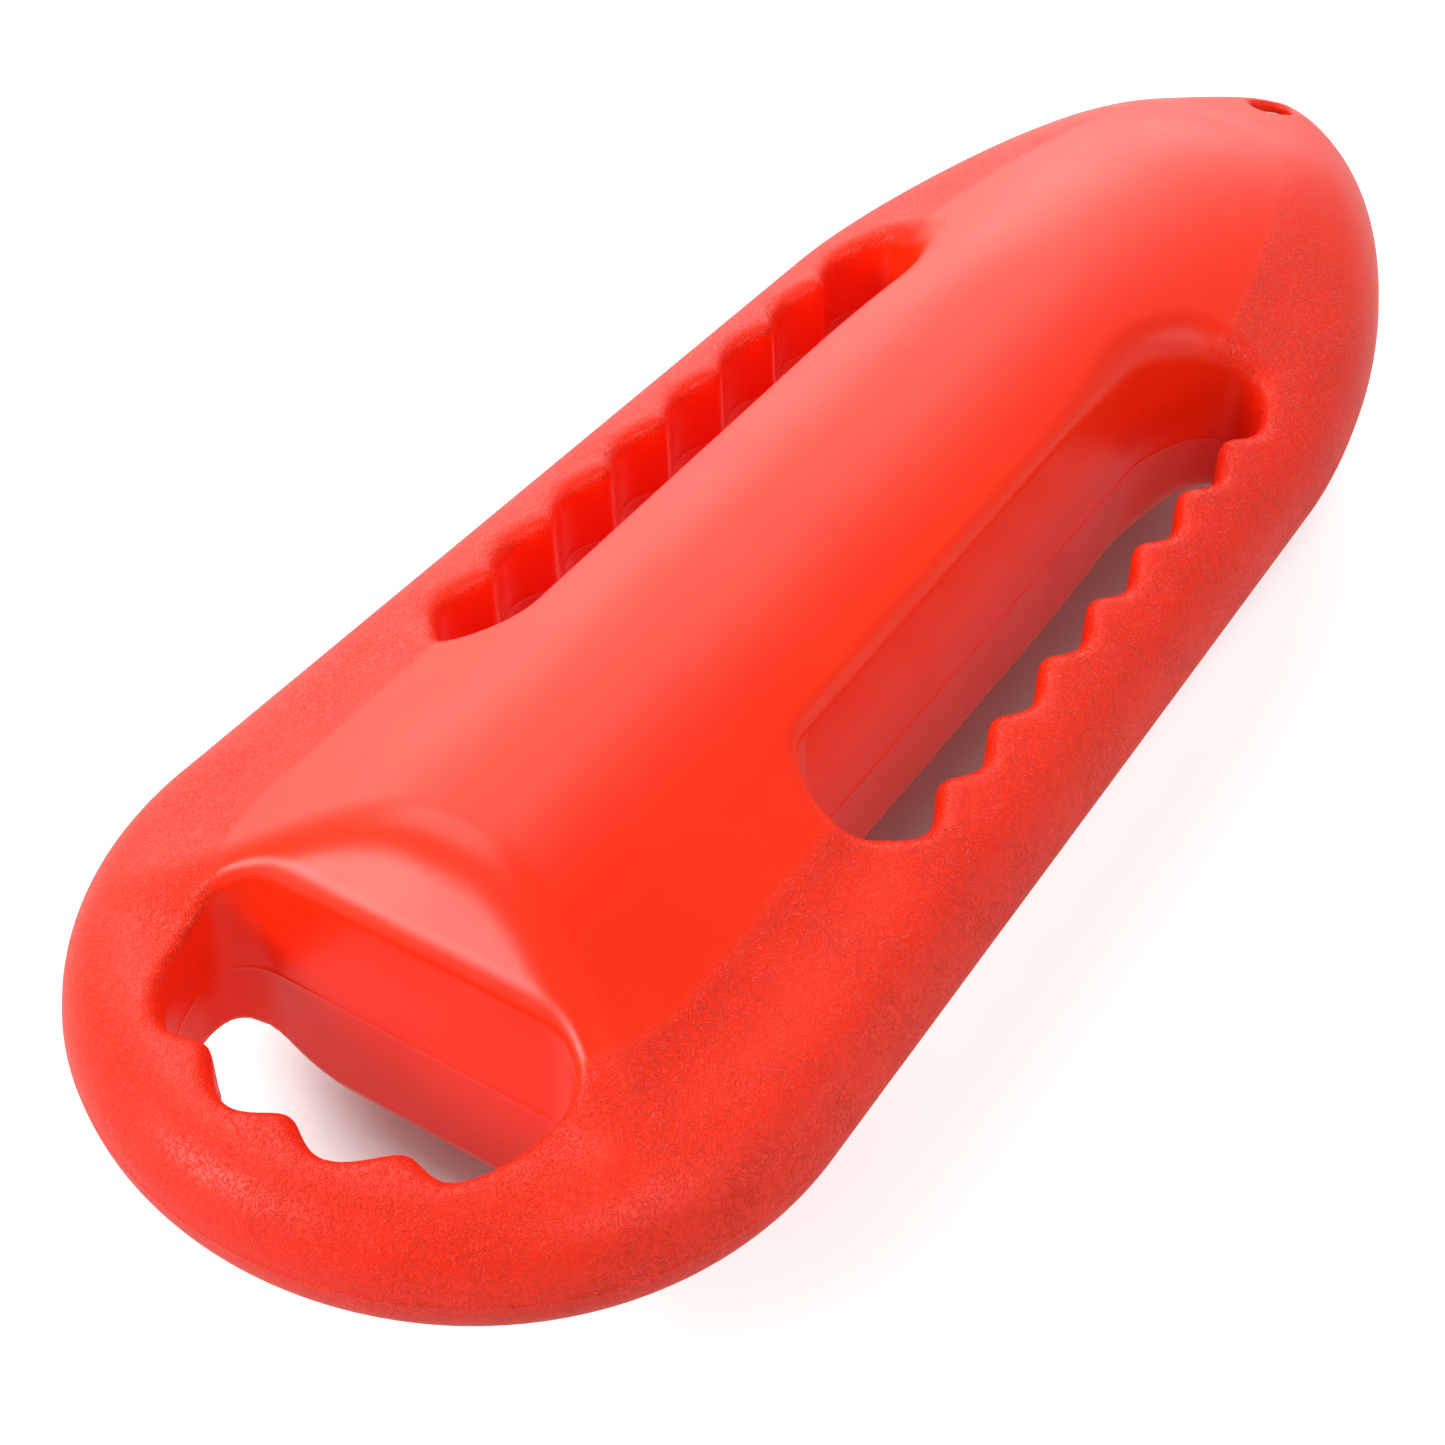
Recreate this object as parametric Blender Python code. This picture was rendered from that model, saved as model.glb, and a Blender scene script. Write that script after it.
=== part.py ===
"""Lifeguard rescue can: hollow blow-moulded float with three hand grips, a screwed vent
plug with its sealing ring, and a liner in the tow eye.

The shape is written in millimetres in a mould frame (x = 0 at the tail, +x to the nose,
+y to the left, z = 0 on the parting plane) and is moved to metres, standing on its
bottom land, when the objects are made.
"""

import math

import bmesh
import bpy
import numpy as np
from mathutils import Vector
from mathutils.geometry import delaunay_2d_cdt

# ---- overall float ----
LENGTH = 711.0
TAIL_ARC = 134.0          # length of the round tail
NOSE_START = 497.0        # where the sides start to close on the nose
NOSE_POWER = 1.72         # fullness of the nose outline
SIDE_HALF = 133.3         # half width of the straight sides, 100 mm from the tail
SIDE_TAPER = 0.0393
RIM_HALF = 27.3           # half thickness of the rim
RIM_ROUND = 29.0          # how far in the edge rounding reaches
RIM_SPREAD = 0.95         # how much further it reaches where the float is thicker
CROWN = 70.5              # half thickness on the crown
CROWN_CURVE = 0.0022
NOSE_FALL = 528.0         # the crown starts to fall to the nose here
BOTTOM_LAND = 69.8        # the bottom crown is flattened here so that it stands
WALL = 2.6                # wall thickness
# ---- dome flanks, the narrower keel below, and the ramp at the tail grip ----
FLANK_SLOPE = 0.60
FLANK_START = 29.0
KEEL_SLOPE = 0.90
KEEL_START = 18.0
BOW_START = 415.0         # ahead of here the dome closes in toward the nose
BOW_CLOSE = 6.0           # by this much on each side
BOW_RUN = 160.0
BOW_CREASE = 15.0         # and its creases soften by this much
CREASE = 11.0             # softness of the creases between crown, flanks and ramp
KEEL_CREASE = 6.0         # and of the keel's, which leaves the bottom land wide
RAMP_X = 94.6
RAMP_Z = 45.4
# ---- grips ----
DRAFT = math.tan(math.radians(2.5))
LIP_WALL = 4.5            # radius round the mouth of a grip, on the dome's side
LIP_FRONT = 9.0           # more of it at the front of the side grips
LIP_BAR = 9.0             # and on the side of the hand bar
GRIP_TAPER = 0.02         # the side grips close toward the nose like the sides
SIDE_INNER = 55.6
SIDE_OUTER = 89.1
SIDE_REAR = 220.5
SIDE_FRONT = 514.0
SIDE_NOOK = 17.0          # the front corner on the dome's side is filled by this much
FINGER_PITCH = 35.05
FINGER_FIRST = 243.1
FINGERS = 8
FINGER_DEPTH = 6.4
TAIL_FRONT = 92.7
TAIL_HALF = 72.4
TAIL_BAR = 38.0
TAIL_PITCH = 38.1
TAIL_DEPTH = 8.5
# ---- tow eye ----
EYE_X = 688.0
EYE_R = 8.0
EYE_LINER_HALF = 19.0
EYE_LINER_WALL = 1.6
# ---- vent plug, screwed into the bottom land ----
PLUG_X = 250.0
SEAT_R = 13.0
SEAT_DEPTH = 5.6
BOSS_R = 15.5
BOSS_HEIGHT = 15.0
BORE_R = 7.4
STEM_R = 7.0
STEM_LENGTH = 10.5
HEAD_R = 13.0
HEAD_THICK = 3.0
SEAL_THICK = 1.6
SEAL_IN = 8.0
SEAL_OUT = 12.0
GAP = 0.3

MM = 0.001
ORIGIN = Vector((LENGTH / 2.0, 0.0, -BOTTOM_LAND))


def world(x, y, z):
    """Mould frame in millimetres to world metres."""
    return (Vector((x, y, z)) - ORIGIN) * MM


# ---------------------------------------------------------------- shape formulas

def soft_min(a, b, k):
    h = np.maximum(k - np.abs(a - b), 0.0) / k
    return np.minimum(a, b) - h * h * k / 4.0


def round_max(a, b, r):
    """Larger of two distances, with a fillet of radius r where they meet."""
    corner = np.hypot(np.maximum(a + r, 0.0), np.maximum(b + r, 0.0))
    return np.minimum(np.maximum(a, b), -r) + corner


def blend(t):
    t = np.clip(t, 0.0, 1.0)
    return t * t * (3.0 - 2.0 * t)


def edge_in(x, y):
    """Distance in from the outline of the float, seen from above."""
    width = SIDE_HALF - SIDE_TAPER * (x - 100.0)
    nose = x >= NOSE_START
    reach = np.where(nose, LENGTH - NOSE_START, TAIL_ARC)
    along = np.where(nose, x - NOSE_START, TAIL_ARC - x) / reach
    power = np.where(nose, NOSE_POWER, 2.0)
    u = np.maximum(along, 1e-6)
    v = np.maximum(np.sqrt(y * y + 9.0 * nose) / width, 1e-6)
    rho = (u ** power + v ** power) ** (1.0 / power)
    slope_x = (u / rho) ** (power - 1.0) / reach
    slope_y = (v / rho) ** (power - 1.0) / width
    return (1.0 - rho) / np.hypot(slope_x, slope_y)


def half_height(x, y, z):
    """Half thickness before the edge is rounded: rim, flanks, ramp and crown."""
    side = np.sqrt(y * y + (1.0 + 16.0 * blend((x - BOW_START) / 150.0)) ** 2)
    bow = BOW_CLOSE * blend((x - BOW_START) / BOW_RUN)
    fall = CROWN * np.clip((x - NOSE_FALL) / (LENGTH - NOSE_FALL), 0.0, 1.0) ** 2.1
    crown = CROWN - fall - CROWN_CURVE * y * y
    flank = CROWN - 1.0 - FLANK_SLOPE * (side + bow - FLANK_START)
    keel = CROWN - 1.0 - 0.3 * fall - KEEL_SLOPE * (side - KEEL_START)
    softer = BOW_CREASE * blend((x - BOW_START - 40.0) / 150.0)
    dome = np.where(z < 0.0, soft_min(crown, keel, KEEL_CREASE + softer),
                    soft_min(crown, flank, CREASE + softer))
    dome = soft_min(dome, RAMP_Z + (x - RAMP_X), CREASE)
    return -soft_min(-dome, -RIM_HALF + 0.0 * x, 9.0 + 0.6 * softer)


def scallop(t, depth):
    """Finger recess depth; t counts fingers, a whole number is mid-finger."""
    c = np.cos(np.pi * t)
    return depth * (np.sqrt(c * c + 0.09) - 0.3) / 0.744


def side_grip(x, y):
    """Distance outside a side grip at the parting plane."""
    side = np.abs(y) + GRIP_TAPER * (x - 290.0)
    finger = np.clip((x - FINGER_FIRST) / FINGER_PITCH, -0.5, FINGERS - 0.5)
    outer = side - SIDE_OUTER - scallop(finger, FINGER_DEPTH)
    nook = 0.707 * (SIDE_INNER - side + x - SIDE_FRONT) + SIDE_NOOK
    walls = round_max(round_max(SIDE_INNER - side, outer, 16.0), nook, 16.0)
    return round_max(walls, round_max(SIDE_REAR - x, x - SIDE_FRONT, 16.0), 16.0)


def tail_grip(x, y):
    """Distance outside the tail grip at the parting plane."""
    finger = np.clip(y / TAIL_PITCH + 0.5, -1.5, 2.5)
    bar = TAIL_BAR - scallop(finger, TAIL_DEPTH) - edge_in(x, y)
    walls = round_max(bar, x - TAIL_FRONT, 20.0)
    return round_max(walls, np.abs(y) - TAIL_HALF, 20.0)


def tow_eye(x, y):
    return np.hypot(x - EYE_X, y) - EYE_R


def skin(x, y, z):
    """Distance outside the float, negative inside."""
    up = np.sqrt(z * z + 0.01)
    inset = edge_in(x, y)
    height = half_height(x, y, z)
    reach = RIM_ROUND + RIM_SPREAD * (height - RIM_HALF - 1.0)
    e = np.maximum(1.0 - inset / reach, 0.0)
    rho = np.sqrt((up / height) ** 2 + e * e + 1e-12)
    slope = np.hypot(up / (height * height * rho), e / (reach * rho))
    body = (rho - 1.0) / np.sqrt(slope * slope + 1e-9)
    wall_lip = LIP_WALL + LIP_FRONT * blend((x - 400.0) / 110.0)
    side_lip = wall_lip + (LIP_BAR - wall_lip) * blend((np.abs(y) - 60.0) / 22.0)
    tail_lip = LIP_BAR + (LIP_WALL - LIP_BAR) * blend((x - 50.0) / 32.0)
    body = round_max(body, -(side_grip(x, y) - up * DRAFT), side_lip)
    body = round_max(body, -(tail_grip(x, y) - up * DRAFT), tail_lip)
    return round_max(body, -(tow_eye(x, y) - up * 0.02), 4.0)


# ---------------------------------------------------------------- hull mesh

def ray_hit(field, origins, directions, level, far):
    """Where a field first rises to a level along each ray (bisection)."""
    near = np.zeros(len(origins))
    reach = np.full(len(origins), far)
    for _ in range(40):
        mid = (near + reach) / 2.0
        point = origins + directions * mid[:, None]
        below = field(point[:, 0], point[:, 1]) < level
        near = np.where(below, mid, near)
        reach = np.where(below, reach, mid)
    return origins + directions * near[:, None]


def stadium_rays(a, b, near_side, far_side, fan):
    """Rays out of a spine from a to b, once round: one side, a fan, the other, a fan."""
    a = np.array(a, float)
    b = np.array(b, float)
    run = (b - a) / np.linalg.norm(b - a)
    out = np.array((run[1], -run[0]))
    rays = []
    for s in near_side:
        rays.append((a + (b - a) * s, out))
    for k in range(1, fan):
        t = math.pi * k / fan
        rays.append((b, out * math.cos(t) + run * math.sin(t)))
    for s in far_side:
        rays.append((b + (a - b) * s, -out))
    for k in range(1, fan):
        t = math.pi * k / fan
        rays.append((a, -out * math.cos(t) - run * math.sin(t)))
    return np.array([r[0] for r in rays]), np.array([r[1] for r in rays])


def steps(count):
    return [k / (count - 1.0) for k in range(count)]


def half_surface(wall, fine):
    """Plan points, triangles, and the heights up and down to the skin, inset by wall."""
    loops = []

    def outline(x, y):
        return -edge_in(x, y)

    def left_grip(x, y):
        return side_grip(x, y)

    side_count = 22 if fine else 12
    origins, out = stadium_rays((TAIL_ARC, 0.0), (NOSE_START, 0.0), steps(side_count),
                                steps(side_count), 24 if fine else 14)
    for inset in ((0.0, 1.3, 5.0, 11.0) if fine else (0.0, 5.0)):
        loops.append(ray_hit(outline, origins, out, -wall - inset, 300.0))

    first = FINGER_FIRST
    last = FINGER_FIRST + FINGER_PITCH * (FINGERS - 1)
    per_finger = 6 if fine else 2
    finger_steps = steps(per_finger * (FINGERS - 1) + 1)
    plain_steps = steps(11 if fine else 6)
    grip_rings = (0.0, 2.0, 3.4, 5.8, 9.5) if fine else (0.0, 3.0)
    for sign in (1.0, -1.0):
        a = (first, sign * 73.0)
        b = (last, sign * 68.8)
        sides = (plain_steps, finger_steps) if sign > 0 else (finger_steps, plain_steps)
        origins, out = stadium_rays(a, b, sides[0], sides[1], 7 if fine else 5)
        for ring in grip_rings:
            loops.append(ray_hit(left_grip, origins, out, wall + ring, 60.0))

    finger_steps = steps(17 if fine else 7)
    plain_steps = steps(7 if fine else 4)
    origins, out = stadium_rays((67.0, -50.0), (67.0, 50.0), plain_steps,
                                finger_steps, 8 if fine else 5)
    for ring in grip_rings:
        loops.append(ray_hit(tail_grip, origins, out, wall + ring, 60.0))

    turn = [math.tau * k / (20 if fine else 12) for k in range(20 if fine else 12)]
    out = np.array([(math.cos(t), math.sin(t)) for t in turn])
    origins = np.tile((EYE_X, 0.0), (len(turn), 1))
    for ring in ((0.0, 1.2, 4.5) if fine else (0.0,)):
        loops.append(ray_hit(tow_eye, origins, out, wall + ring, 40.0))

    points = []
    edges = []
    for loop in loops:
        start = len(points)
        points.extend(Vector(p) for p in loop)
        edges.extend((start + k, start + (k + 1) % len(loop)) for k in range(len(loop)))
    pitch = 18.0 if fine else 26.0
    columns = (0.0, 14.0, 29.0, 43.0, 58.0, 76.0, 94.0, 111.0) if fine else \
        (0.0, 26.0, 52.0, 78.0, 104.0)
    clear = 10.0 if fine else 15.0
    for row in range(-6, 36):
        x = RAMP_X + CROWN - RAMP_Z + row * pitch
        if x < 12.0 or x > LENGTH:
            continue
        for y in sorted({side * col for col in columns for side in (-1.0, 1.0)}):
            near_grip = min(side_grip(x, y), tail_grip(x, y), tow_eye(x, y))
            if edge_in(x, y) - wall > clear + 9.0 and near_grip - wall > clear:
                points.append(Vector((x, y)))

    plan, _, triangles, _, _, _ = delaunay_2d_cdt(points, edges, [], 0, 1e-5)
    plan = np.array([tuple(p) for p in plan])
    kept = []
    for tri in triangles:
        cx, cy = plan[list(tri)].mean(axis=0)
        open_to = min(side_grip(cx, cy), tail_grip(cx, cy), tow_eye(cx, cy))
        if edge_in(cx, cy) > wall and open_to > wall:
            kept.append(list(tri))

    x, y = plan[:, 0], plan[:, 1]
    heights = []
    for side in (1.0, -1.0):
        low = np.zeros(len(plan))
        high = np.full(len(plan), 95.0)
        for _ in range(40):
            mid = (low + high) / 2.0
            inside = skin(x, y, side * mid) < -wall
            low = np.where(inside, mid, low)
            high = np.where(inside, high, mid)
        heights.append(low)
    return plan, kept, heights


def open_border(triangles):
    """Vertices on the free edges of a triangle list."""
    uses = {}
    for a, b, c in triangles:
        for edge in ((a, b), (b, c), (c, a)):
            key = tuple(sorted(edge))
            uses[key] = uses.get(key, 0) + 1
    border = set()
    for edge, count in uses.items():
        if count == 1:
            border.update(edge)
    return border


def add_half_surfaces(bm, wall, fine):
    """Top and bottom skins, sewn on the parting plane; facing out for the outer one."""
    plan, triangles, (above, below) = half_surface(wall, fine)
    border = open_border(triangles)
    while any(border.issuperset(tri) for tri in triangles):
        triangles = [tri for tri in triangles if not border.issuperset(tri)]
        border = open_border(triangles)
    used = sorted({k for tri in triangles for k in tri})
    top = {}
    bottom = {}
    for k in used:
        x, y = plan[k]
        if k in border:
            top[k] = bm.verts.new(world(x, y, 0.0))
            bottom[k] = top[k]
        else:
            drop = min(max(below[k], 0.05), BOTTOM_LAND - wall)
            top[k] = bm.verts.new(world(x, y, max(above[k], 0.05)))
            bottom[k] = bm.verts.new(world(x, y, -drop))
    outer = wall == 0.0
    for tri in triangles:
        a, b, c = tri
        (ax, ay), (bx, by), (cx, cy) = plan[a], plan[b], plan[c]
        if (bx - ax) * (cy - ay) - (by - ay) * (cx - ax) < 0.0:
            b, c = c, b
        upper = (top[a], top[b], top[c])
        lower = (bottom[c], bottom[b], bottom[a])
        if not outer:
            upper = upper[::-1]
            lower = lower[::-1]
        bm.faces.new(upper)
        bm.faces.new(lower)


# ---------------------------------------------------------------- turned pieces

def turned(name, profile, segments):
    """Solid of revolution about z from a closed (radius, height) profile in mm."""
    bm = bmesh.new()
    rings = []
    for k in range(segments):
        t = math.tau * k / segments
        rings.append([None if r == 0.0 else
                      bm.verts.new((r * math.cos(t) * MM, r * math.sin(t) * MM, h * MM))
                      for r, h in profile])
    axis = [bm.verts.new((0.0, 0.0, h * MM)) if r == 0.0 else None for r, h in profile]
    for k in range(segments):
        here = rings[k]
        there = rings[(k + 1) % segments]
        for j in range(len(profile)):
            n = (j + 1) % len(profile)
            corners = [here[j] or axis[j], there[j] or axis[j],
                       there[n] or axis[n], here[n] or axis[n]]
            unique = []
            for v in corners:
                if v not in unique:
                    unique.append(v)
            if len(unique) > 2:
                bm.faces.new(unique)
    bmesh.ops.recalc_face_normals(bm, faces=bm.faces)
    return finish_mesh(name, bm)


def finish_mesh(name, bm):
    mesh = bpy.data.meshes.new(name)
    bm.to_mesh(mesh)
    bm.free()
    obj = bpy.data.objects.new(name, mesh)
    bpy.context.scene.collection.objects.link(obj)
    return obj


def cutter(name, profile, segments):
    obj = turned(name, profile, segments)
    obj.hide_render = True
    obj.display_type = "WIRE"
    return obj


def combine(target, tool, operation):
    mod = target.modifiers.new(tool.name, "BOOLEAN")
    mod.object = tool
    mod.operation = operation
    mod.solver = "EXACT"


def paint(obj, name, colour, roughness):
    mat = bpy.data.materials.new(name)
    mat.use_nodes = True
    shader = mat.node_tree.nodes["Principled BSDF"]
    shader.inputs["Base Color"].default_value = (*colour, 1.0)
    shader.inputs["Roughness"].default_value = roughness
    obj.data.materials.clear()
    obj.data.materials.append(mat)


def build_hull():
    bm = bmesh.new()
    add_half_surfaces(bm, 0.0, True)
    add_half_surfaces(bm, WALL, False)
    hull = finish_mesh("hull_shell", bm)
    seat = world(PLUG_X, 0.0, -BOTTOM_LAND)
    boss = cutter("plug_boss", [(0.0, 1.5), (BOSS_R, 1.5), (BOSS_R, BOSS_HEIGHT),
                                (0.0, BOSS_HEIGHT)], 32)
    pocket = cutter("plug_seat", [(0.0, -2.0), (SEAT_R, -2.0),
                                  (SEAT_R, SEAT_DEPTH), (0.0, SEAT_DEPTH)], 32)
    bore = cutter("plug_bore", [(0.0, -1.0), (BORE_R, -1.0), (BORE_R, BOSS_HEIGHT + 3.0),
                                (0.0, BOSS_HEIGHT + 3.0)], 32)
    for tool, operation in ((boss, "UNION"), (pocket, "DIFFERENCE"), (bore, "DIFFERENCE")):
        tool.location = seat
        combine(hull, tool, operation)
    return hull


def build_plug():
    """Head in the seat, stem up the bore; the origin is on the axis at the seat floor."""
    under = SEAT_DEPTH - SEAL_THICK - 2.0 * GAP
    low = under - HEAD_THICK
    base = SEAT_DEPTH
    profile = [(0.0, low + 1.6), (3.2, low + 1.6), (3.2, low), (HEAD_R - 1.3, low),
               (HEAD_R - 0.5, low + 0.8), (HEAD_R - 0.5, under), (STEM_R, under),
               (STEM_R, base + STEM_LENGTH - 1.2), (STEM_R - 1.2, base + STEM_LENGTH),
               (0.0, base + STEM_LENGTH)]
    plug = turned("vent_plug", [(r, h - base) for r, h in profile], 32)
    plug.location = world(PLUG_X, 0.0, -BOTTOM_LAND + base)
    return plug


def build_seal():
    low = -SEAL_THICK - GAP
    high = -GAP
    profile = [(SEAL_IN, low + 0.4), (SEAL_IN + 0.4, low), (SEAL_OUT - 0.4, low),
               (SEAL_OUT, low + 0.4), (SEAL_OUT, high - 0.4), (SEAL_OUT - 0.4, high),
               (SEAL_IN + 0.4, high), (SEAL_IN, high - 0.4)]
    seal = turned("vent_plug_seal", profile, 32)
    seal.location = world(PLUG_X, 0.0, -BOTTOM_LAND + SEAT_DEPTH)
    return seal


def build_liner():
    outer = EYE_R - GAP
    inner = outer - EYE_LINER_WALL
    h = EYE_LINER_HALF
    profile = [(inner, -h + 0.8), (inner + 0.8, -h), (outer - 0.5, -h), (outer, -h + 0.5),
               (outer, h - 0.5), (outer - 0.5, h), (inner + 0.8, h), (inner, h - 0.8)]
    liner = turned("tow_eye_liner", profile, 28)
    liner.location = world(EYE_X, 0.0, 0.0)
    return liner


def main():
    for obj in list(bpy.data.objects):
        bpy.data.objects.remove(obj, do_unlink=True)
    paint(build_hull(), "hull_hdpe", (0.72, 0.035, 0.012), 0.42)
    paint(build_plug(), "plug_plastic", (0.42, 0.02, 0.01), 0.45)
    paint(build_seal(), "seal_rubber", (0.02, 0.02, 0.02), 0.7)
    paint(build_liner(), "liner_nylon", (0.75, 0.72, 0.62), 0.4)


main()
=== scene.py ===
"""Looks of the lifeguard rescue can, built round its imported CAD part."""

import math

import bpy
import numpy as np
from mathutils import Matrix, Vector


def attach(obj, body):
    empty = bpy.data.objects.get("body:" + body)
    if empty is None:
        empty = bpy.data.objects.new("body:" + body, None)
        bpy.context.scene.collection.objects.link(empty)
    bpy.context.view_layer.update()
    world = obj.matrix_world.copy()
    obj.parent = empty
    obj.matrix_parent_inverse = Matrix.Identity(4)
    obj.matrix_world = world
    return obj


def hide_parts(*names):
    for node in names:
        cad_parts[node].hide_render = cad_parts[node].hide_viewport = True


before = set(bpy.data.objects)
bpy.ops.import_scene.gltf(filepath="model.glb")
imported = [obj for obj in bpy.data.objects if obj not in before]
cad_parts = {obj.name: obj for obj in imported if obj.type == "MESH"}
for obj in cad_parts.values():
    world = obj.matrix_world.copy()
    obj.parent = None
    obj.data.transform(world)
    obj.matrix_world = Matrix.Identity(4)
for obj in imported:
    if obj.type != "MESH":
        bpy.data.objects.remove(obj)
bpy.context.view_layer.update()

# ---- the float's shape, in millimetres: x = 0 at the tail, z = 0 on the parting plane ----
LENGTH = 711.0
TAIL_ARC = 134.0          # length of the round tail
NOSE_START = 497.0        # where the sides start to close on the nose
NOSE_POWER = 1.72         # fullness of the nose outline
SIDE_HALF = 133.3         # half width of the straight sides, 100 mm from the tail
SIDE_TAPER = 0.0393
RIM_HALF = 27.3           # half thickness of the rim
RIM_ROUND = 29.0          # how far in the edge rounding reaches
RIM_SPREAD = 0.95         # how much further it reaches where the float is thicker
CROWN = 70.5              # half thickness on the crown
CROWN_CURVE = 0.0022
NOSE_FALL = 528.0         # the crown starts to fall to the nose here
BOTTOM_LAND = 69.8        # the bottom crown is flattened here so that it stands
# ---- dome flanks, the narrower keel below, and the ramp at the tail grip ----
FLANK_SLOPE = 0.60
FLANK_START = 29.0
KEEL_SLOPE = 0.90
KEEL_START = 18.0
BOW_START = 415.0         # ahead of here the dome closes in toward the nose
BOW_CLOSE = 6.0           # by this much on each side
BOW_RUN = 160.0
BOW_CREASE = 15.0         # and its creases soften by this much
CREASE = 11.0             # softness of the creases between crown, flanks and ramp
KEEL_CREASE = 6.0         # and of the keel's, which leaves the bottom land wide
RAMP_X = 94.6
RAMP_Z = 45.4
# ---- grips ----
DRAFT = math.tan(math.radians(2.5))
LIP_WALL = 4.5            # radius round the mouth of a grip, on the dome's side
LIP_FRONT = 9.0           # more of it at the front of the side grips
LIP_BAR = 9.0             # and on the side of the hand bar
GRIP_TAPER = 0.02         # the side grips close toward the nose like the sides
SIDE_INNER = 55.6
SIDE_OUTER = 89.1
SIDE_REAR = 220.5
SIDE_FRONT = 514.0
SIDE_NOOK = 17.0          # the front corner on the dome's side is filled by this much
FINGER_PITCH = 35.05
FINGER_FIRST = 243.1
FINGERS = 8
FINGER_DEPTH = 6.4
TAIL_FRONT = 92.7
TAIL_HALF = 72.4
TAIL_BAR = 38.0
TAIL_PITCH = 38.1
TAIL_DEPTH = 8.5
EYE_X = 688.0
EYE_R = 8.0
PLUG_X = 250.0
SEAT_R = 13.0
SEAT_DEPTH = 5.6
BORE_R = 7.4
BORE_DEPTH = 17.0
FLASH_HEIGHT = 0.25       # the mould's parting line stands proud by this much
FLASH_HALF = 0.70
# ---- vent plug; heights are from the floor of its seat ----
HEAD_R = 13.0
HEAD_THICK = 3.0
HEAD_UNDER = -2.2
STEM_R = 7.0
STEM_LENGTH = 10.5
THREAD_CORE = 6.0
THREAD_PITCH = 2.5
SLOT_HALF_LENGTH = 8.6
SLOT_HALF_WIDTH = 1.3
KNURLS = 36
RING_STEPS = 216
# ---- looks ----
GRAIN_INSET = 50.0        # leather grain covers the rim this far in from the outline
GRAIN_SCALE = 430.0       # wrinkles to the metre
GRAIN_DEPTH = 0.32        # depths of the surface's relief, in millimetres
FLOW_DEPTH = 0.20
PEEL_DEPTH = 0.04
WAVE_DEPTH = 0.26
HDPE_SPECULAR = 0.30
ROOM_DIM = 0.32           # the white room is this bright on the dark side
ROOM_BRIGHT = 2.4         # and this bright behind the float's left
ROOM_AZIMUTH = 40.0
ROOM_ELEVATION = 28.0
ROOM_FALL = (0.6, 0.97)   # cosines from that direction between which it dims
TABLE_PAINTED_GLOW = 0.66         # painted glow: the table glows white to the camera except where the float covers it, which leaves a painted shadow there
CONTACT_GLOW = 0.08       # and a faint painted glow to all rays, which gives the flat land underneath a little light
COVER_HALF = 195.0        # half length of the line down the middle of the covered stretch
PAINTED_SHADOW_HALF = 55.0         # no painted glow this near to that line: painted shadow
COVER_CLEAR = 105.0       # and all of it from here on
SOFTBOXES = (             # name, azimuth, elevation, width, height in metres, watts
    ("tail_left", 150.0, 25.0, 0.8, 0.9, 36.0),
    ("left_high", 100.0, 60.0, 1.3, 1.1, 20.0),
    ("right", 285.0, 14.0, 2.0, 0.7, 9.0),
    ("right_high", 250.0, 45.0, 1.0, 1.0, 17.0),
)

MM = 0.001
ORIGIN = np.array((LENGTH / 2.0, 0.0, -BOTTOM_LAND))
CELL = 2.6


def soft_min(a, b, k):
    h = np.maximum(k - np.abs(a - b), 0.0) / k
    return np.minimum(a, b) - h * h * k / 4.0


def round_max(a, b, r):
    """Larger of two distances, with a fillet of radius r where they meet."""
    corner = np.hypot(np.maximum(a + r, 0.0), np.maximum(b + r, 0.0))
    return np.minimum(np.maximum(a, b), -r) + corner


def blend(t):
    t = np.clip(t, 0.0, 1.0)
    return t * t * (3.0 - 2.0 * t)


def edge_in(x, y):
    """Distance in from the outline of the float, seen from above."""
    width = SIDE_HALF - SIDE_TAPER * (x - 100.0)
    nose = x >= NOSE_START
    reach = np.where(nose, LENGTH - NOSE_START, TAIL_ARC)
    along = np.where(nose, x - NOSE_START, TAIL_ARC - x) / reach
    power = np.where(nose, NOSE_POWER, 2.0)
    u = np.maximum(along, 1e-6)
    v = np.maximum(np.sqrt(y * y + 9.0 * nose) / width, 1e-6)
    rho = (u ** power + v ** power) ** (1.0 / power)
    slope_x = (u / rho) ** (power - 1.0) / reach
    slope_y = (v / rho) ** (power - 1.0) / width
    return (1.0 - rho) / np.hypot(slope_x, slope_y)


def half_height(x, y, z):
    """Half thickness before the edge is rounded: rim, flanks, ramp and crown."""
    side = np.sqrt(y * y + (1.0 + 16.0 * blend((x - BOW_START) / 150.0)) ** 2)
    bow = BOW_CLOSE * blend((x - BOW_START) / BOW_RUN)
    fall = CROWN * np.clip((x - NOSE_FALL) / (LENGTH - NOSE_FALL), 0.0, 1.0) ** 2.1
    crown = CROWN - fall - CROWN_CURVE * y * y
    flank = CROWN - 1.0 - FLANK_SLOPE * (side + bow - FLANK_START)
    keel = CROWN - 1.0 - 0.3 * fall - KEEL_SLOPE * (side - KEEL_START)
    softer = BOW_CREASE * blend((x - BOW_START - 40.0) / 150.0)
    dome = np.where(z < 0.0, soft_min(crown, keel, KEEL_CREASE + softer),
                    soft_min(crown, flank, CREASE + softer))
    dome = soft_min(dome, RAMP_Z + (x - RAMP_X), CREASE)
    return -soft_min(-dome, -RIM_HALF + 0.0 * x, 9.0 + 0.6 * softer)


def scallop(t, depth):
    """Finger recess depth; t counts fingers, a whole number is mid-finger."""
    c = np.cos(np.pi * t)
    return depth * (np.sqrt(c * c + 0.09) - 0.3) / 0.744


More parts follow.
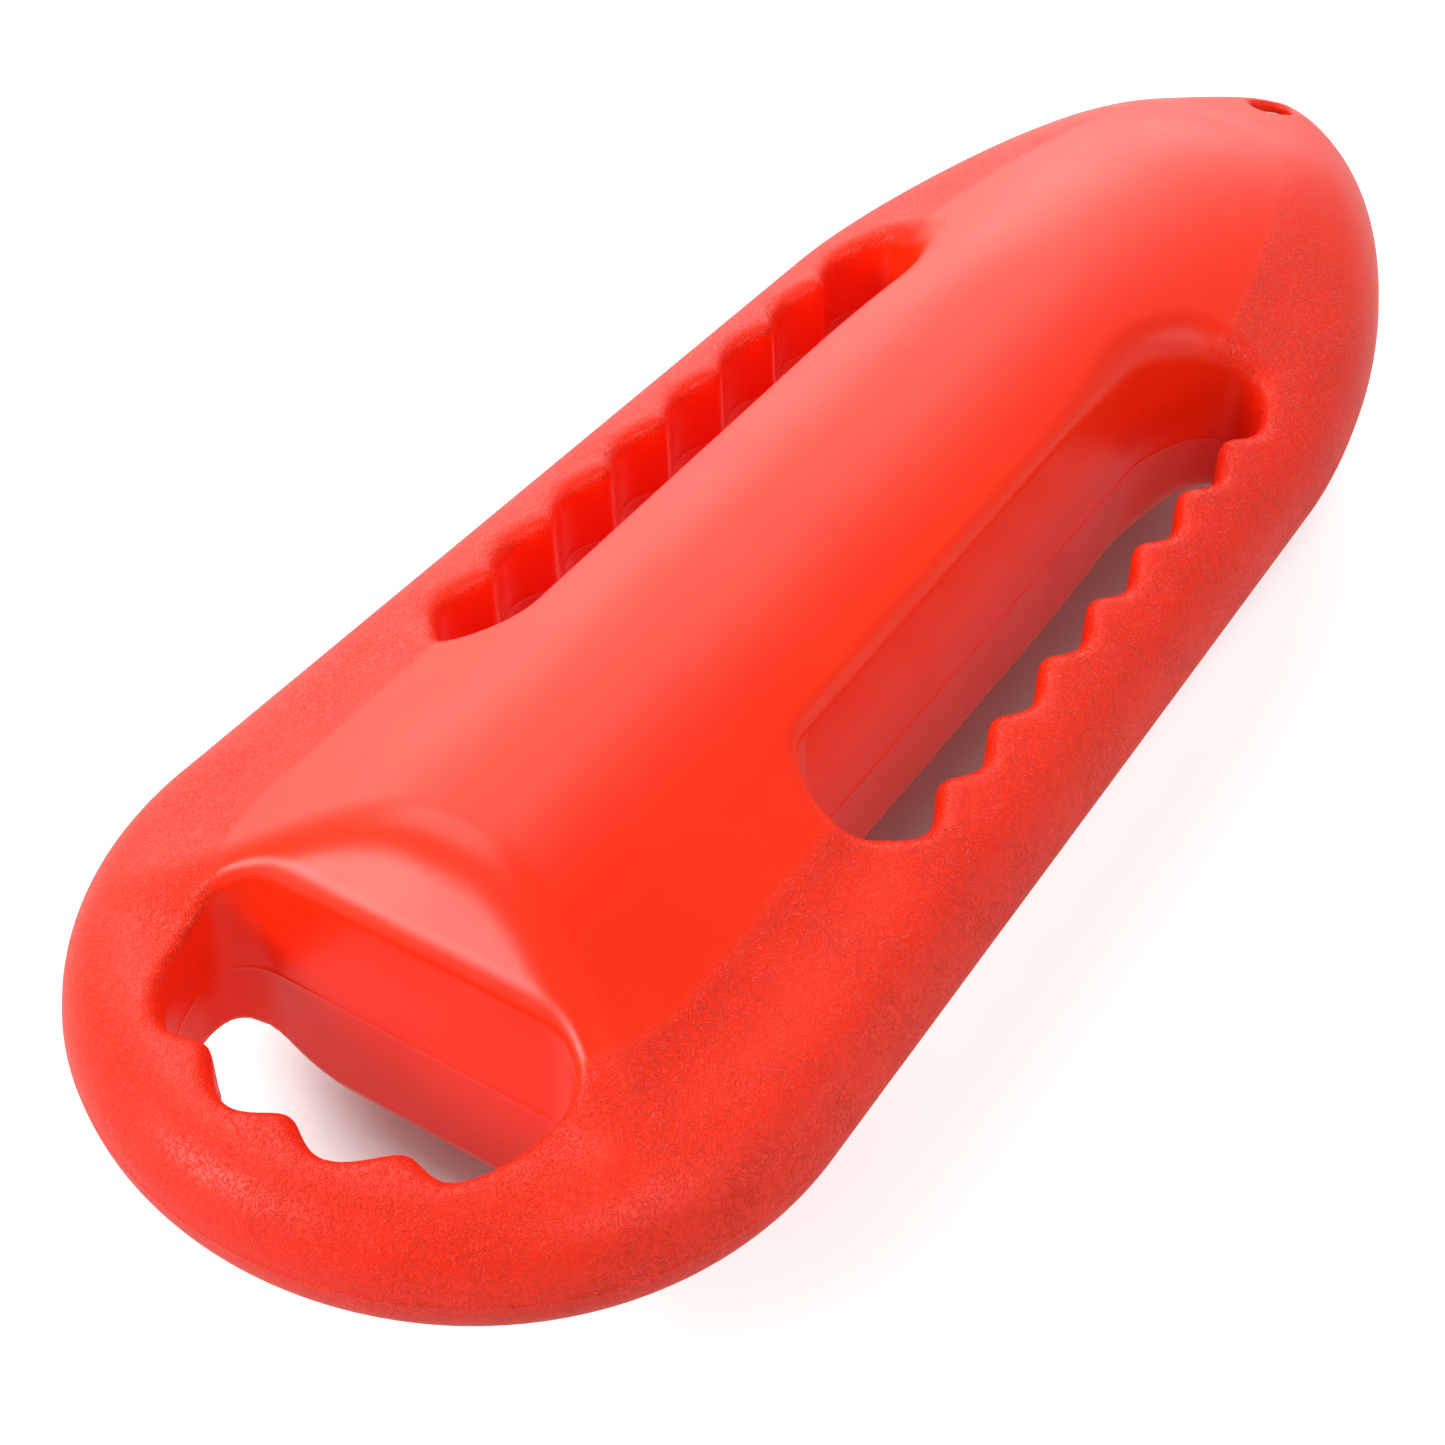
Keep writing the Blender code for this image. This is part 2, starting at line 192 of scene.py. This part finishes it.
def side_grip(x, y):
    """Distance outside a side grip at the parting plane."""
    side = np.abs(y) + GRIP_TAPER * (x - 290.0)
    finger = np.clip((x - FINGER_FIRST) / FINGER_PITCH, -0.5, FINGERS - 0.5)
    outer = side - SIDE_OUTER - scallop(finger, FINGER_DEPTH)
    nook = 0.707 * (SIDE_INNER - side + x - SIDE_FRONT) + SIDE_NOOK
    walls = round_max(round_max(SIDE_INNER - side, outer, 16.0), nook, 16.0)
    return round_max(walls, round_max(SIDE_REAR - x, x - SIDE_FRONT, 16.0), 16.0)


def tail_grip(x, y):
    """Distance outside the tail grip at the parting plane."""
    finger = np.clip(y / TAIL_PITCH + 0.5, -1.5, 2.5)
    bar = TAIL_BAR - scallop(finger, TAIL_DEPTH) - edge_in(x, y)
    walls = round_max(bar, x - TAIL_FRONT, 20.0)
    return round_max(walls, np.abs(y) - TAIL_HALF, 20.0)


def tow_eye(x, y):
    return np.hypot(x - EYE_X, y) - EYE_R


def body_skin(x, y, z, flash):
    """Distance outside the float; flash stands that much proud of the grips and rim."""
    up = np.sqrt(z * z + 0.01)
    inset = edge_in(x, y)
    height = half_height(x, y, z)
    reach = RIM_ROUND + RIM_SPREAD * (height - RIM_HALF - 1.0)
    e = np.maximum(1.0 - inset / reach, 0.0)
    rho = np.sqrt((up / height) ** 2 + e * e + 1e-12)
    slope = np.hypot(up / (height * height * rho), e / (reach * rho))
    body = (rho - 1.0) / np.sqrt(slope * slope + 1e-9) - flash
    wall_lip = LIP_WALL + LIP_FRONT * blend((x - 400.0) / 110.0)
    side_lip = wall_lip + (LIP_BAR - wall_lip) * blend((np.abs(y) - 60.0) / 22.0)
    tail_lip = LIP_BAR + (LIP_WALL - LIP_BAR) * blend((x - 50.0) / 32.0)
    body = round_max(body, -(side_grip(x, y) - up * DRAFT) - flash, side_lip)
    body = round_max(body, -(tail_grip(x, y) - up * DRAFT) - flash, tail_lip)
    return round_max(body, -(tow_eye(x, y) - up * 0.02), 4.0)


def skin(x, y, z):
    """The float with its parting line, flat bottom land and plug seat."""
    flash = FLASH_HEIGHT * np.exp(-((z / FLASH_HALF) ** 2))
    body = round_max(body_skin(x, y, z, flash), -z - BOTTOM_LAND, 0.6)
    off_axis = np.hypot(x - PLUG_X, y)
    seat = np.maximum(off_axis - SEAT_R, z + BOTTOM_LAND - SEAT_DEPTH)
    bore = np.maximum(off_axis - BORE_R, z + BOTTOM_LAND - BORE_DEPTH)
    return round_max(body, -np.minimum(seat, bore), 0.5)


def gradient(p, h=0.04):
    g = np.empty_like(p)
    for k in range(3):
        d = np.zeros(3)
        d[k] = h
        ahead = p + d
        behind = p - d
        g[:, k] = (skin(*ahead.T) - skin(*behind.T)) / (2.0 * h)
    return g


def spaced(low, high, cell, bands):
    """Grid lines from low to high, cell apart, closer inside each (low, high, cell) band."""
    lines = [low]
    while lines[-1] < high:
        step = cell
        for a, b, fine in bands:
            if a - cell < lines[-1] < b:
                step = min(step, fine)
        lines.append(lines[-1] + step)
    return np.array(lines)


def mesh_skin():
    """Vertices and quads on the float's skin, by surface nets on an uneven grid.

    Six sweeps pull the vertices onto the skin; three of them also even out the mesh,
    away from the parting line, whose rows stay where they are.
    """
    xs = spaced(-4.0, LENGTH + 4.0, CELL, [(PLUG_X - 15.0, PLUG_X + 15.0, CELL / 2.0)])
    half = spaced(0.0, 141.0, CELL, [(-1.0, 15.0, CELL / 2.0)])
    ys = np.concatenate([-half[:0:-1], half])
    up = spaced(0.15, 77.0, CELL, [(0.0, 1.2, 0.3)])
    zs = np.concatenate([-up[::-1], up])
    gx, gy, gz = np.meshgrid(xs, ys, zs, indexing="ij")
    value = skin(gx, gy, gz)
    inside = value < 0.0
    cells = np.zeros([n - 1 for n in value.shape], int)
    for i in (0, 1):
        for j in (0, 1):
            for k in (0, 1):
                nx, ny, nz = cells.shape
                cells += inside[i:i + nx, j:j + ny, k:k + nz]
    mixed = (cells > 0) & (cells < 8)
    number = -np.ones(cells.shape, int)
    number[mixed] = np.arange(mixed.sum())
    ci, cj, ck = np.nonzero(mixed)
    points = np.stack([(xs[ci] + xs[ci + 1]) / 2.0, (ys[cj] + ys[cj + 1]) / 2.0,
                       (zs[ck] + zs[ck + 1]) / 2.0], axis=1)
    quads = []
    for axis in range(3):
        a, b = [k for k in range(3) if k != axis]
        here = np.moveaxis(inside, axis, 0)
        change = here[:-1] != here[1:]
        i, j, k = np.nonzero(change)
        entering = here[1:][i, j, k]
        index = np.moveaxis(number, axis, 0)
        ok = (j > 0) & (k > 0) & (j < index.shape[1]) & (k < index.shape[2])
        i, j, k, entering = i[ok], j[ok], k[ok], entering[ok]
        ring = np.stack([index[i, j - 1, k - 1], index[i, j, k - 1],
                         index[i, j, k], index[i, j - 1, k]], axis=1)
        turned = entering if (a, b) != (0, 2) else ~entering
        ring[turned] = ring[turned][:, ::-1]
        quads.append(ring)
    quads = np.concatenate(quads)
    for sweep in range(6):
        if 0 < sweep < 4:
            total = np.zeros_like(points)
            count = np.zeros(len(points))
            for m in range(4):
                for n in (1, 3):
                    np.add.at(total, quads[:, m], points[quads[:, (m + n) % 4]])
                    np.add.at(count, quads[:, m], 1.0)
            ease = 0.6 * (np.abs(points[:, 2]) > 1.6)[:, None]
            points = points * (1.0 - ease) + ease * total / count[:, None]
        for _ in range(3):
            g = gradient(points)
            step = skin(*points.T) / np.maximum((g * g).sum(axis=1), 0.05)
            points = points - g * np.clip(step, -3.0, 3.0)[:, None]
    return points, quads


def new_object(name, verts, faces, smooth=True):
    mesh = bpy.data.meshes.new(name)
    mesh.from_pydata(verts, [], faces)
    mesh.update()
    obj = bpy.data.objects.new(name, mesh)
    bpy.context.scene.collection.objects.link(obj)
    mesh.polygons.foreach_set("use_smooth", [smooth] * len(mesh.polygons))
    return obj


# ---------------------------------------------------------------- materials

class Surface:
    """One node material, built up with a few short calls."""

    def __init__(self, name):
        self.mat = bpy.data.materials.new(name)
        self.mat.use_nodes = True
        self.tree = self.mat.node_tree
        self.shader = self.tree.nodes["Principled BSDF"]
        self.place = self.add("ShaderNodeTexCoord").outputs["Object"]

    def add(self, kind, **settings):
        made = self.tree.nodes.new(kind)
        for key, value in settings.items():
            setattr(made, key, value)
        return made

    def feed(self, socket, value):
        if isinstance(value, bpy.types.NodeSocket):
            self.tree.links.new(value, socket)
        else:
            socket.default_value = value

    def stretch(self, scale):
        made = self.add("ShaderNodeMapping")
        self.feed(made.inputs["Vector"], self.place)
        made.inputs["Scale"].default_value = scale
        return made.outputs["Vector"]

    def noise(self, scale, detail=2.0, distortion=0.0, vector=None):
        made = self.add("ShaderNodeTexNoise")
        self.feed(made.inputs["Vector"], vector or self.place)
        made.inputs["Scale"].default_value = scale
        made.inputs["Detail"].default_value = detail
        made.inputs["Distortion"].default_value = distortion
        return made.outputs["Fac"]

    def attribute(self, name):
        return self.add("ShaderNodeAttribute", attribute_name=name).outputs["Fac"]

    def math(self, operation, a, b=0.0, c=0.0):
        made = self.add("ShaderNodeMath", operation=operation)
        for socket, value in zip(made.inputs, (a, b, c)):
            self.feed(socket, value)
        return made.outputs[0]

    def ramp(self, value, low, high, out_low=0.0, out_high=1.0):
        made = self.add("ShaderNodeMapRange", interpolation_type="SMOOTHSTEP")
        for key, v in (("Value", value), ("From Min", low), ("From Max", high),
                       ("To Min", out_low), ("To Max", out_high)):
            self.feed(made.inputs[key], v)
        return made.outputs["Result"]

    def mix(self, amount, a, b):
        made = self.add("ShaderNodeMix", data_type="RGBA")
        self.feed(made.inputs["Factor"], amount)
        colours = [s for s in made.inputs if s.type == "RGBA"]
        for socket, colour in zip(colours, (a, b)):
            self.feed(socket, (*colour, 1.0) if isinstance(colour, tuple) else colour)
        return next(s for s in made.outputs if s.type == "RGBA")

    def bump(self, height, depth):
        """Bump of the given depth in metres where height runs from 0 to 1."""
        made = self.add("ShaderNodeBump")
        made.inputs["Distance"].default_value = depth
        self.feed(made.inputs["Height"], height)
        return made.outputs["Normal"]

    def finish(self, colour, roughness, normal=None, specular=0.5):
        self.feed(self.shader.inputs["Base Color"],
                  (*colour, 1.0) if isinstance(colour, tuple) else colour)
        self.feed(self.shader.inputs["Roughness"], roughness)
        self.feed(self.shader.inputs["Specular IOR Level"], specular)
        if normal is not None:
            self.feed(self.shader.inputs["Normal"], normal)
        return self.mat


HDPE = (0.930, 0.029, 0.003)
HDPE_DEEP = (0.880, 0.022, 0.002)
# darker red painted into the grain's valleys: painted shade in the relief's hollows
HDPE_VALLEY_PAINTED_SHADE = (0.780, 0.015, 0.001)


def hdpe_material():
    """Blow-moulded polythene: leather grain on the rim, with painted shade in its valleys, satin
    elsewhere.
    """
    s = Surface("hdpe_red")
    grain = s.attribute("grain")
    nose = s.attribute("nose")
    worms = s.noise(GRAIN_SCALE, 1.2, 1.3)
    ridge = s.ramp(s.math("ABSOLUTE", s.math("SUBTRACT", worms, 0.5)), 0.0, 0.075, 1.0, 0.0)
    patch = s.ramp(s.noise(38.0, 2.0), 0.36, 0.62, 0.55, 1.0)
    leather = s.math("MULTIPLY", s.math("MULTIPLY", grain, patch), ridge)
    flow = s.math("MULTIPLY", nose, s.noise(120.0, 3.0, 0.4, s.stretch((0.16, 1.0, 1.0))))
    height = s.math("MULTIPLY", leather, GRAIN_DEPTH)
    height = s.math("MULTIPLY_ADD", flow, FLOW_DEPTH, height)
    height = s.math("MULTIPLY_ADD", s.noise(230.0, 1.0), PEEL_DEPTH, height)
    height = s.math("MULTIPLY_ADD", s.noise(21.0, 1.0), WAVE_DEPTH, height)
    normal = s.bump(height, MM)
    tone = s.mix(s.ramp(s.noise(7.0, 3.0), 0.35, 0.65), HDPE, HDPE_DEEP)
    # the grain's valleys get painted shade in the colour, and a rougher finish
    valley = s.math("MULTIPLY", grain, s.math("SUBTRACT", 1.0, ridge))
    colour = s.mix(s.math("MULTIPLY", valley, 0.28), tone, HDPE_VALLEY_PAINTED_SHADE)
    rough = s.ramp(s.noise(30.0, 2.0), 0.3, 0.7, 0.29, 0.33)
    rough = s.math("MULTIPLY_ADD", valley, 0.10, rough)
    return s.finish(colour, rough, normal, HDPE_SPECULAR)


def plug_material():
    s = Surface("plug_plastic_red")
    tone = s.mix(s.ramp(s.noise(90.0, 2.0), 0.35, 0.65), (0.62, 0.012, 0.004),
                 (0.50, 0.008, 0.003))
    normal = s.bump(s.noise(900.0, 2.0), 0.000025)
    rough = s.ramp(s.noise(220.0, 2.0), 0.3, 0.7, 0.30, 0.42)
    return s.finish(tone, rough, normal, 0.45)


def nylon_material():
    s = Surface("liner_nylon")
    tone = s.mix(s.ramp(s.noise(140.0, 3.0), 0.35, 0.65), (0.78, 0.74, 0.64),
                 (0.66, 0.61, 0.50))
    ring = s.noise(420.0, 1.0, 0.2, s.stretch((0.15, 0.15, 1.0)))
    normal = s.bump(ring, 0.00003)
    rough = s.ramp(s.noise(260.0, 2.0), 0.3, 0.7, 0.32, 0.46)
    return s.finish(tone, rough, normal, 0.5)


def rubber_material():
    s = Surface("seal_rubber")
    tone = s.mix(s.ramp(s.noise(300.0, 3.0), 0.4, 0.7), (0.018, 0.018, 0.019),
                 (0.045, 0.043, 0.041))
    normal = s.bump(s.noise(1400.0, 2.0), 0.000024)
    rough = s.ramp(s.noise(500.0, 2.0), 0.3, 0.7, 0.62, 0.80)
    return s.finish(tone, rough, normal, 0.35)


# ---------------------------------------------------------------- the float

def surface_masks(points, normals):
    """How much leather grain, and how much nose flow, each vertex carries."""
    x, y, z = points.T
    inset = edge_in(x, y)
    rim = blend((GRAIN_INSET + 3.0 - inset) / 6.0)
    wall = blend((0.45 - np.abs(normals[:, 2])) / 0.30) * blend((inset - 24.0) / 6.0)
    nose = blend((x - 540.0) / 90.0)
    return rim * (1.0 - wall) * (1.0 - 0.85 * nose), nose


def add_mask(obj, name, values):
    layer = obj.data.attributes.new(name, "FLOAT", "POINT")
    layer.data.foreach_set("value", np.asarray(values, dtype=np.float32))


def build_float():
    points, quads = mesh_skin()
    normals = gradient(points)
    normals /= np.linalg.norm(normals, axis=1)[:, None]
    obj = new_object("float_skin", ((points - ORIGIN) * MM).tolist(), quads.tolist())
    grain, nose = surface_masks(points, normals)
    add_mask(obj, "grain", grain)
    add_mask(obj, "nose", nose)
    obj.data.normals_split_custom_set_from_vertices(normals.tolist())
    return obj


# ---------------------------------------------------------------- the vent plug

def ring_solid(name, rings):
    """Closed solid about z from (radius, height) rings in mm, from the bottom up."""
    turn = np.arange(RING_STEPS) * math.tau / RING_STEPS
    verts = []
    faces = []
    for radius, height in rings:
        r = np.broadcast_to(radius, RING_STEPS)
        verts += [(a, b, height) for a, b in zip(r * np.cos(turn), r * np.sin(turn))]
    last = len(verts) - RING_STEPS
    for n in range(RING_STEPS):
        m = (n + 1) % RING_STEPS
        faces += [(a + n, a + m, a + RING_STEPS + m, a + RING_STEPS + n)
                  for a in range(0, last, RING_STEPS)]
        faces.append((len(verts), m, n))
        faces.append((len(verts) + 1, last + n, last + m))
    verts += [(0.0, 0.0, rings[0][1]), (0.0, 0.0, rings[-1][1])]
    obj = new_object(name, (np.array(verts) * MM).tolist(), faces)
    obj.data.set_sharp_from_angle(angle=math.radians(38.0))
    return obj


def build_plug():
    """Knurled head with a coin slot, and a right-hand thread up the bore."""
    turn = np.arange(RING_STEPS) * math.tau / RING_STEPS
    slot = np.minimum(SLOT_HALF_LENGTH, SLOT_HALF_WIDTH / np.maximum(np.abs(np.sin(turn)), 1e-6))
    knurl = HEAD_R - 0.75 + 0.25 * np.cos(KNURLS * turn)
    low = HEAD_UNDER - HEAD_THICK
    rings = [(slot, low + 1.7), (slot, low + 0.25), (slot + 0.25, low),
             (slot + 0.9 * (HEAD_R - 4.0 - slot), low), (HEAD_R - 2.6, low),
             (HEAD_R - 1.6, low + 0.12), (knurl - 0.35, low + 0.75), (knurl, low + 1.05),
             (knurl, HEAD_UNDER - 0.4), (knurl - 0.4, HEAD_UNDER), (THREAD_CORE, HEAD_UNDER),
             (THREAD_CORE, -0.6)]
    for height in np.arange(-0.4, STEM_LENGTH - 0.9, 0.2):
        wave = np.cos(math.tau * height / THREAD_PITCH - turn)
        crest = np.clip(0.35 + 0.9 * wave, 0.0, 1.0)
        fade = blend((height + 0.4) / 1.2) * blend((STEM_LENGTH - 0.9 - height) / 1.0)
        rings.append((THREAD_CORE + (STEM_R - THREAD_CORE) * crest * fade, height))
    rings += [(THREAD_CORE, STEM_LENGTH - 0.7), (THREAD_CORE - 0.7, STEM_LENGTH)]
    return ring_solid("vent_plug_detail", rings)


def place_plug(obj):
    seat = (PLUG_X, 0.0, SEAT_DEPTH - BOTTOM_LAND)
    shift = [(a - b) * MM for a, b in zip(seat, ORIGIN)]
    for vertex in obj.data.vertices:
        vertex.co += Vector(shift)


# ---------------------------------------------------------------- the pieces

float_skin = build_float()
float_skin.data.materials.append(hdpe_material())
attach(float_skin, "float")
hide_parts("hull_shell")

plug_detail = build_plug()
place_plug(plug_detail)
plug_detail.data.materials.append(plug_material())
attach(plug_detail, "plug")
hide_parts("vent_plug")

for carried, made in (("tow_eye_liner", nylon_material()), ("vent_plug_seal", rubber_material())):
    piece = bpy.data.objects[carried]
    piece.material_slots[0].material = made

# ---------------------------------------------------------------- floor and light

def toward(azimuth, elevation):
    """Unit vector at an azimuth and elevation in degrees."""
    a = math.radians(azimuth)
    e = math.radians(elevation)
    return Vector((math.cos(a) * math.cos(e), math.sin(a) * math.cos(e), math.sin(e)))


def light_room():
    """A white room, brighter on one side."""
    world = bpy.data.worlds.new("studio")
    bpy.context.scene.world = world
    world.use_nodes = True
    nodes = world.node_tree.nodes
    place = nodes.new("ShaderNodeTexCoord")
    facing = nodes.new("ShaderNodeVectorMath")
    facing.operation = "DOT_PRODUCT"
    facing.inputs[1].default_value = toward(ROOM_AZIMUTH, ROOM_ELEVATION)
    fall = nodes.new("ShaderNodeMapRange")
    fall.interpolation_type = "SMOOTHSTEP"
    for key, value in (("From Min", ROOM_FALL[0]), ("From Max", ROOM_FALL[1]),
                       ("To Min", ROOM_DIM), ("To Max", ROOM_BRIGHT)):
        fall.inputs[key].default_value = value
    join = world.node_tree.links.new
    join(place.outputs["Generated"], facing.inputs[0])
    join(facing.outputs["Value"], fall.inputs["Value"])
    join(fall.outputs["Result"], nodes["Background"].inputs["Strength"])
    nodes["Background"].inputs["Color"].default_value = (1.0, 1.0, 1.0, 1.0)


def glowing_table_material():
    """Matt white with a painted glow all round the float and a painted shadow under it, and clear
    when seen from below.
    """
    s = Surface("white_table_painted_glow")
    split = s.add("ShaderNodeSeparateXYZ")
    s.feed(split.inputs["Vector"], s.place)
    along = s.math("ABSOLUTE", split.outputs["X"])
    past = s.math("MAXIMUM", s.math("SUBTRACT", along, COVER_HALF * MM))
    span = s.math("SQRT", s.math("ADD", s.math("MULTIPLY", past, past),
                                 s.math("MULTIPLY", split.outputs["Y"], split.outputs["Y"])))
    s.feed(s.shader.inputs["Emission Color"], (1.0, 1.0, 1.0, 1.0))
    direct = s.add("ShaderNodeLightPath").outputs["Is Camera Ray"]
    # painted glow for camera rays, none near the float's middle line: a painted shadow under the
    # float
    glow = s.ramp(span, PAINTED_SHADOW_HALF * MM, COVER_CLEAR * MM, 0.0, TABLE_PAINTED_GLOW)
    seen = s.math("SUBTRACT", glow, CONTACT_GLOW)
    s.feed(s.shader.inputs["Emission Strength"], s.math("MULTIPLY_ADD", direct, seen, CONTACT_GLOW))
    sides = s.add("ShaderNodeMixShader")
    s.feed(sides.inputs[0], s.add("ShaderNodeNewGeometry").outputs["Backfacing"])
    s.tree.links.new(s.shader.outputs["BSDF"], sides.inputs[1])
    s.tree.links.new(s.add("ShaderNodeBsdfTransparent").outputs["BSDF"], sides.inputs[2])
    s.tree.links.new(sides.outputs["Shader"], s.tree.nodes["Material Output"].inputs["Surface"])
    return s.finish((0.55, 0.55, 0.55), 0.6, None, 0.2)


def lay_floor(reach=6.0, drop=-0.0002):
    """A plain square floor just under the float."""
    corners = [(-reach, -reach, drop), (reach, -reach, drop), (reach, reach, drop),
               (-reach, reach, drop)]
    floor = new_object("floor", corners, [(0, 1, 2, 3)], smooth=False)
    floor.data.materials.append(glowing_table_material())


def softbox(name, azimuth, elevation, width, height, watts, reach=2.5):
    """Softbox aimed at the float from an azimuth and elevation in degrees."""
    data = bpy.data.lights.new(name, "AREA")
    data.shape = "RECTANGLE"
    data.size = width
    data.size_y = height
    data.energy = watts
    lamp = bpy.data.objects.new(name, data)
    lamp.location = toward(azimuth, elevation) * reach
    aim = Vector((0.0, 0.0, 0.05)) - lamp.location
    lamp.rotation_euler = aim.to_track_quat("-Z", "Y").to_euler()
    lamp.visible_camera = False
    bpy.context.scene.collection.objects.link(lamp)


light_room()
lay_floor()
for box in SOFTBOXES:
    softbox(*box)

# ---- the camera, at the photograph's viewing angle ----
CAMERA_AZIMUTH = 33.1
CAMERA_TILT = 43.57
CAMERA_ROLL = 0.54
CAMERA_RANGE = 1100.2
CAMERA_TARGET = (269.0, -0.61, 0.0)
CAMERA_LENS = 79.2

look = toward(CAMERA_AZIMUTH, -CAMERA_TILT)
right = look.cross(Vector((0.0, 0.0, 1.0))).normalized()
above = right.cross(look)
roll = math.radians(CAMERA_ROLL)
rolled_right = right * math.cos(roll) + above * math.sin(roll)
rolled_up = above * math.cos(roll) - right * math.sin(roll)
camera_data = bpy.data.cameras.new("camera")
camera_data.lens = CAMERA_LENS
camera_data.sensor_width = 36.0
camera = bpy.data.objects.new("camera", camera_data)
turn = Matrix((rolled_right, rolled_up, -look)).transposed().to_4x4()
place = (Vector(CAMERA_TARGET) - look * CAMERA_RANGE - Vector(ORIGIN)) * MM
camera.matrix_world = Matrix.Translation(place) @ turn
bpy.context.scene.collection.objects.link(camera)
bpy.context.scene.camera = camera
bpy.context.scene.view_settings.view_transform = "Standard"
